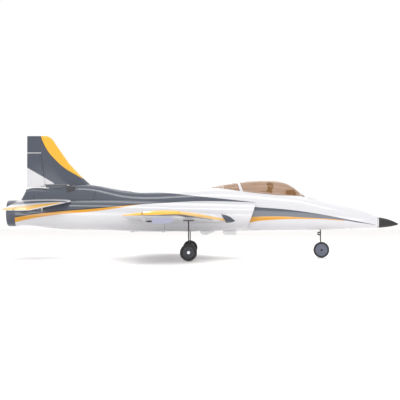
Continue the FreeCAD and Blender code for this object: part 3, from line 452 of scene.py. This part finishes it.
def clevis_rod(name="clevis_rod"):
    """Steel push rod with a black moulded clevis on its aft end."""
    recipe = Recipe(name)
    x, _, _ = recipe.place()
    lines = recipe.noise(700, 3)
    clevis = x.below(-104.6, 0.3)
    colour = recipe.coat((0.30, 0.30, 0.32, 1), (0.012, 0.012, 0.013, 1), clevis)
    recipe.feed("Base_Color", recipe.shade(colour, 0.85 + lines * 0.25))
    recipe.feed("Metallic", 1 - clevis)
    recipe.feed("Roughness", 0.25 + clevis * 0.15 + lines * 0.1)
    recipe.bump(lines, 0.03 * MM, 0.3)
    return recipe.material


def strut_wire(name="strut_wire"):
    """Dark spring wire, with bright nuts outside the main wheels."""
    recipe = Recipe(name, Metallic=1.0)
    _, y, _ = recipe.place()
    lines = recipe.noise(700, 3, 0.6, (1, 1, 0.05))
    nut = abs(y).above(189.6, 0.4)
    colour = recipe.coat((0.035, 0.035, 0.038, 1), (0.62, 0.62, 0.64, 1), nut)
    recipe.feed("Base_Color", recipe.shade(colour, 0.85 + lines * 0.25))
    recipe.feed("Roughness", 0.28 + lines * 0.12)
    recipe.bump(lines, 0.03 * MM, 0.3)
    return recipe.material


def rubber(name="tyre_foam_rubber"):
    """Dull foam rubber with a fine open grain and scuffs."""
    recipe = Recipe(name)
    scuff = recipe.noise(120, 4, 0.7)
    recipe.feed("Base_Color", recipe.shade((0.030, 0.030, 0.032, 1), 0.7 + scuff * 0.6))
    recipe.feed("Roughness", 0.62 + scuff * 0.25)
    recipe.bump(recipe.cells(1300) + scuff * 0.5, 0.15 * MM, 0.5)
    return recipe.material


def carbon(name="carbon_weave"):
    """Pipe of woven carbon under lacquer."""
    recipe = Recipe(name, Coat_Weight=0.6, Coat_Roughness=0.1)
    spot = recipe.add("ShaderNodeTexCoord", output=3)
    check = recipe.add("ShaderNodeTexChecker", None,
                       {0: spot, 1: (0.02, 0.02, 0.022, 1), 2: (0.05, 0.05, 0.055, 1), 3: 500.0})
    recipe.feed("Base_Color", check)
    recipe.feed("Roughness", 0.3 + recipe.noise(300) * 0.15)
    return recipe.material


def canopy_glass(name="canopy_tint"):
    """Amber tinted clear plastic with a painted white band across it."""
    shades = paint()
    recipe = Recipe(name, IOR=1.46)
    x, _, z = recipe.place()
    slant = x - 83 + (z - 162) * 0.34
    band = abs(slant).below(3.2, 0.4)
    colour = recipe.coat(shades.smoke, shades.white, band)
    frame = z - recipe.along(x, [(19, 155.4), (79, 148.6), (139, 142.6), (198, 138.6), (231, 138.0)])
    rim = frame.below(2.6, 1.6).most(x.below(24, 4.0)).most(x.above(226, 4.0)) * (1 - band)
    colour = recipe.coat(colour, (0.07, 0.034, 0.012, 1), rim * 0.85)
    recipe.feed("Base_Color", colour)
    haze = recipe.noise(60, 2)
    recipe.feed("Alpha", (0.33 + haze * 0.04 + rim * 0.45).least(1.0).most(band))
    recipe.feed("Roughness", 0.05 + band * 0.3 + haze * 0.03)
    return recipe.material


def pilot_paint(name="pilot_paint"):
    """Dark flying suit, dark helmet and visor, with pale straps."""
    recipe = Recipe(name)
    x, y, z = recipe.place()
    suit = recipe.shade((0.030, 0.034, 0.030, 1), 0.7 + recipe.noise(260, 3) * 0.6)
    strap = abs(abs(y) - 5.5).below(1.1, 0.4) * z.below(157, 0.5)
    colour = recipe.coat(suit, (0.20, 0.19, 0.16, 1), strap)
    helmet = z.above(158.6, 0.4)
    colour = recipe.coat(colour, (0.040, 0.038, 0.036, 1), helmet)
    visor = x.above(153.6, 0.3) * z.within(162.6, 168.8, 0.3)
    colour = recipe.coat(colour, (0.004, 0.004, 0.005, 1), visor)
    recipe.feed("Base_Color", colour)
    recipe.feed("Roughness", 0.75 - helmet * 0.45 - visor * 0.2)
    recipe.bump(recipe.noise(900, 3), 0.1 * MM, 0.4)
    return recipe.material


def cockpit_paint(name="cockpit_paint"):
    """Tan cockpit tub with darker consoles."""
    recipe = Recipe(name)
    x, _, z = recipe.place()
    cloud = recipe.noise(70, 3)
    consoles = z.above(144.5, 0.3)
    colour = recipe.coat((0.42, 0.29, 0.18, 1), (0.05, 0.045, 0.04, 1), consoles)
    recipe.feed("Base_Color", recipe.shade(colour, 0.85 + cloud * 0.3))
    recipe.feed("Roughness", 0.55 + cloud * 0.2)
    recipe.bump(recipe.noise(500, 2), 0.1 * MM, 0.4)
    return recipe.material


def battery_wrap(name="battery_wrap"):
    """Shrink film over flat cells, with a plain coloured band."""
    recipe = Recipe(name, Coat_Weight=0.4)
    x, _, _ = recipe.place()
    band = x.within(82, 140, 0.5)
    colour = recipe.coat((0.015, 0.02, 0.05, 1), (0.05, 0.16, 0.42, 1), band)
    wrinkle = recipe.noise(90, 4, 0.6, (1, 3, 3))
    recipe.feed("Base_Color", recipe.shade(colour, 0.85 + wrinkle * 0.3))
    recipe.feed("Roughness", 0.25 + wrinkle * 0.2)
    recipe.bump(wrinkle, 0.4 * MM, 0.5)
    return recipe.material


def webbing(name="strap_weave"):
    """Hook and loop strap with a ribbed weave."""
    recipe = Recipe(name, Sheen_Weight=0.4)
    spot = recipe.add("ShaderNodeTexCoord", output=3)
    ribs = recipe.add("ShaderNodeTexWave", None, {0: spot, "Scale": 260.0, "Distortion": 1.0}, output=1)
    recipe.feed("Base_Color", recipe.shade((0.03, 0.03, 0.032, 1), 0.7 + ribs * 0.5))
    recipe.feed("Roughness", 0.8 + ribs * 0.1)
    recipe.bump(ribs, 0.3 * MM, 0.5)
    return recipe.material


def wear(material, *nodes):
    """Gives carried-over sub-parts a finish in every material slot."""
    for node in nodes:
        piece = bpy.data.objects[node]
        for slot in piece.material_slots:
            slot.material = material


def both(*stems):
    return [stem + side for stem in stems for side in ("_left", "_right")]


# ---------------------------------------------------------------- modelled pieces


TREAD_SEGMENTS = 72
TYRE_SIDES = 24
TREAD_BAND = 1.5 * MM
GROOVE_EDGE = 0.18 * MM
GROOVE_DEPTH = 0.5 * MM
SMOOTH_ANGLE = math.radians(38)


def model_tyre(name, node, hub, body, material):
    """A round tyre with a ring of moulded tread grooves, pressed on its hub."""
    low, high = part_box(node)
    rim_low, rim_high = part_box(hub)
    outer, rim = (high[2] - low[2]) / 2, (rim_high[2] - rim_low[2]) / 2
    section = (outer - rim) / 2
    centre = [(a + b) / 2 for a, b in zip(low, high)]
    bpy.ops.object.select_all(action="DESELECT")
    bpy.ops.mesh.primitive_torus_add(
        location=centre, rotation=(math.pi / 2, 0, 0), major_radius=outer - section, minor_radius=section,
        major_segments=TREAD_SEGMENTS, minor_segments=TYRE_SIDES)
    tyre = bpy.context.object
    tyre.name = name
    tyre.scale = (1, 1, (high[1] - low[1]) / (2 * section))
    bpy.ops.object.transform_apply(location=True, rotation=True, scale=True)

    bpy.ops.object.mode_set(mode="EDIT")
    bpy.ops.mesh.select_all(action="DESELECT")
    mesh = bmesh.from_edit_mesh(tyre.data)
    step = 2 * math.pi / TREAD_SEGMENTS
    for face in mesh.faces:
        spot = face.calc_center_median()
        across, up = spot.x - centre[0], spot.z - centre[2]
        turn = int((math.atan2(up, across) + math.pi) / step)
        if math.hypot(across, up) > outer - TREAD_BAND and turn % 2 == 0:
            face.select_set(True)
    bmesh.update_edit_mesh(tyre.data)
    bpy.ops.mesh.inset(thickness=GROOVE_EDGE, depth=-GROOVE_DEPTH)
    bpy.ops.mesh.select_all(action="SELECT")
    bpy.ops.mesh.normals_make_consistent(inside=False)
    bpy.ops.object.mode_set(mode="OBJECT")
    bpy.ops.object.shade_smooth_by_angle(angle=SMOOTH_ANGLE)
    tyre.data.materials.append(material)
    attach(tyre, body)
    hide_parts(node)


# ---------------------------------------------------------------- operators


class JET_OT_airframe(bpy.types.Operator):
    """Paint the foam fuselage, hatch and belly fittings"""

    bl_idname = "jet.airframe"
    bl_label = "Fuselage paint"

    def execute(self, context):
        wear(fuselage_paint(), "fuselage_front", "fuselage_middle", "fuselage_tail", "canopy_hatch",
             "belly_hatch", "belly_scoops")
        return {"FINISHED"}


class JET_OT_surfaces(bpy.types.Operator):
    """Paint the wings, fin, stabilizer and their moving surfaces"""

    bl_idname = "jet.surfaces"
    bl_label = "Wing and tail paint"

    def execute(self, context):
        wear(fin_paint(), "vertical_fin", "rudder")
        wear(wing_paint(), *both("wing", "aileron"))
        # The servo pods are white, painted pale blue-grey as painted shade with a painted bluish reflection.
        wear(moulded("pod_white_in_painted_shade", paint().pale, 0.35), "servo_pods")
        wear(tail_paint(), *both("stabilizer", "elevator"))
        return {"FINISHED"}


class JET_OT_trim(bpy.types.Operator):
    """Finish the nose cone, the exhaust collar and the tail pipe"""

    bl_idname = "jet.trim"
    bl_label = "Nose and exhaust"

    def execute(self, context):
        wear(moulded("nose_black", (0.010, 0.009, 0.009, 1), 0.45), "nose_cone")
        wear(moulded("collar_slate", paint().grey, 0.36), "exhaust_collar")
        wear(carbon(), "thrust_tube", "spars")
        return {"FINISHED"}


class JET_OT_cockpit(bpy.types.Operator):
    """Finish the canopy and everything under it"""

    bl_idname = "jet.cockpit"
    bl_label = "Canopy and cockpit"

    def execute(self, context):
        wear(canopy_glass(), "canopy_glass")
        wear(pilot_paint(), "pilot")
        wear(cockpit_paint(), "cockpit_tray")
        wear(moulded("hood_black", (0.02, 0.02, 0.02, 1), 0.7), "instrument_hood")
        return {"FINISHED"}


class JET_OT_gear(bpy.types.Operator):
    """Model the tyres, and finish the wheels, struts and their mounts"""

    bl_idname = "jet.gear"
    bl_label = "Undercarriage"

    def execute(self, context):
        tread = rubber()
        model_tyre("tyre_nose", "nose_tyre", "nose_hub", "nose_wheel", tread)
        for side in ("_left", "_right"):
            model_tyre("tyre_main" + side, "main_tyre" + side, "main_hub" + side, "main_wheel" + side, tread)
        wear(moulded("hub_slate", (0.030, 0.034, 0.042, 1), 0.4), *both("main_hub"))
        wear(moulded("hub_blue_grey", (0.12, 0.135, 0.19, 1), 0.35), "nose_hub")
        wear(strut_wire(), "nose_strut", "main_struts")
        wear(moulded("mount_black", (0.02, 0.02, 0.02, 1)), "nose_gear_block", "gear_mounts")
        return {"FINISHED"}


class JET_OT_linkages(bpy.types.Operator):
    """Finish the servos, arms, push rods, hinges and screws"""

    bl_idname = "jet.linkages"
    bl_label = "Servos and linkages"

    def execute(self, context):
        wear(moulded("servo_black", (0.012, 0.012, 0.016, 1), 0.35), "wing_servos", "tail_servos",
             "steering_servo")
        wear(moulded("arm_nylon", (0.50, 0.50, 0.50, 1), 0.4), "rudder_arm", "steering_arm",
             *both("aileron_arm", "elevator_arm"))
        wear(metal("rod_steel", (0.30, 0.30, 0.32, 1), 0.25, (0.05, 1, 1)), "rudder_rod", "steering_rod",
             "control_hinges", "airframe_screws", "hatch_magnets", *both("elevator_rod"))
        wear(clevis_rod(), *both("aileron_rod"))
        return {"FINISHED"}


class JET_OT_power(bpy.types.Operator):
    """Finish the fan, motor, battery, speed controller and receiver"""

    bl_idname = "jet.power"
    bl_label = "Power system"

    def execute(self, context):
        wear(moulded("fan_housing_black", (0.02, 0.02, 0.022, 1)), "fan_housing")
        wear(moulded("fan_blades", (0.03, 0.03, 0.034, 1), 0.3), "fan_rotor")
        wear(metal("motor_can", (0.30, 0.16, 0.08, 1), 0.25), "fan_motor")
        wear(battery_wrap(), "battery_pack")
        wear(webbing(), "battery_strap")
        wear(moulded("controller_wrap", (0.25, 0.03, 0.02, 1), 0.3), "speed_controller")
        wear(moulded("receiver_case", (0.03, 0.03, 0.035, 1), 0.5), "receiver")
        return {"FINISHED"}


class JET_OT_stage(bpy.types.Operator):
    """Set up the floor, the soft lights and the camera"""

    bl_idname = "jet.stage"
    bl_label = "Studio"

    def execute(self, context):
        build_floor()
        build_lights()
        build_camera()
        return {"FINISHED"}


class JET_PT_panel(bpy.types.Panel):
    """The steps in order, with the settings that they use"""

    bl_label = "Ducted fan jet"
    bl_idname = "JET_PT_panel"
    bl_space_type = "VIEW_3D"
    bl_region_type = "UI"
    bl_category = "Jet"

    def draw(self, context):
        for settings in (context.scene.jet_paint, context.scene.jet_sizes):
            for name in settings.__annotations__:
                self.layout.prop(settings, name)
        for step in STEPS:
            self.layout.operator(step.bl_idname)


# ---------------------------------------------------------------- studio


def build_floor():
    bpy.ops.object.select_all(action="DESELECT")
    bpy.ops.mesh.primitive_plane_add(size=12.0, location=(0, 1.0, 0))
    floor = bpy.context.object
    floor.name = "studio_floor"
    recipe = Recipe("floor_white", Roughness=0.55)
    cloud = recipe.noise(1.5, 3)
    recipe.feed("Base_Color", recipe.shade((0.93, 0.92, 0.91, 1), 0.985 + cloud * 0.03))
    floor.data.materials.append(recipe.material)


def area_light(name, place, target, size, power):
    light = bpy.data.lights.new(name, "AREA")
    light.shape = "RECTANGLE"
    light.size, light.size_y = size
    light.energy = power
    lamp = bpy.data.objects.new(name, light)
    bpy.context.collection.objects.link(lamp)
    lamp.location = place
    lamp.rotation_euler = (Vector(target) - Vector(place)).to_track_quat("-Z", "Y").to_euler()


def build_lights():
    area_light("key_softbox", (0.15, -1.45, 2.0), (0, 0, 0.1), (2.2, 0.45), 18)
    area_light("fill_softbox", (0.1, -1.9, 0.12), (0, 0, 0.1), (2.6, 0.3), 9)
    area_light("back_softbox", (-0.2, 1.3, 1.2), (-0.2, 0, 0.15), (1.6, 0.25), 9)
    area_light("top_softbox", (-0.1, 0.5, 2.3), (0, 0, 0.1), (2.4, 0.8), 13)
    world = bpy.data.worlds.new("studio_world")
    bpy.context.scene.world = world
    world.use_nodes = True
    backdrop = world.node_tree.nodes["Background"]
    backdrop.inputs["Color"].default_value = (1.0, 0.99, 0.985, 1)
    backdrop.inputs["Strength"].default_value = 1.02


CAMERA_DISTANCE = 2.276
CAMERA_HEIGHT = 0.086
AIM_HEIGHT = 0.1318
AIM_X = -0.007
LENS = 90.0


def build_camera():
    lens = bpy.data.cameras.new("photo_camera")
    lens.sensor_width = 36.0
    lens.lens = LENS
    lens.clip_end = 50
    camera = bpy.data.objects.new("photo_camera", lens)
    bpy.context.collection.objects.link(camera)
    camera.location = (AIM_X, -CAMERA_DISTANCE, CAMERA_HEIGHT)
    aim = Vector((AIM_X, 0, AIM_HEIGHT))
    camera.rotation_euler = (aim - camera.location).to_track_quat("-Z", "Y").to_euler()
    bpy.context.scene.camera = camera
    view = bpy.context.scene.view_settings
    view.view_transform = "Standard"
    view.look = "None"


# ---------------------------------------------------------------- registration


STEPS = (JET_OT_airframe, JET_OT_surfaces, JET_OT_trim, JET_OT_cockpit, JET_OT_gear, JET_OT_linkages,
         JET_OT_power, JET_OT_stage)
CLASSES = (JetPaint, JetSizes) + STEPS + (JET_PT_panel,)


def register():
    for cls in CLASSES:
        bpy.utils.register_class(cls)
    bpy.types.Scene.jet_paint = bpy.props.PointerProperty(type=JetPaint)
    bpy.types.Scene.jet_sizes = bpy.props.PointerProperty(type=JetSizes)


def unregister():
    del bpy.types.Scene.jet_paint
    del bpy.types.Scene.jet_sizes
    for cls in reversed(CLASSES):
        bpy.utils.unregister_class(cls)


def main():
    register()
    for step in STEPS:
        group, name = step.bl_idname.split(".")
        getattr(getattr(bpy.ops, group), name)()


if __name__ == "__main__":
    main()
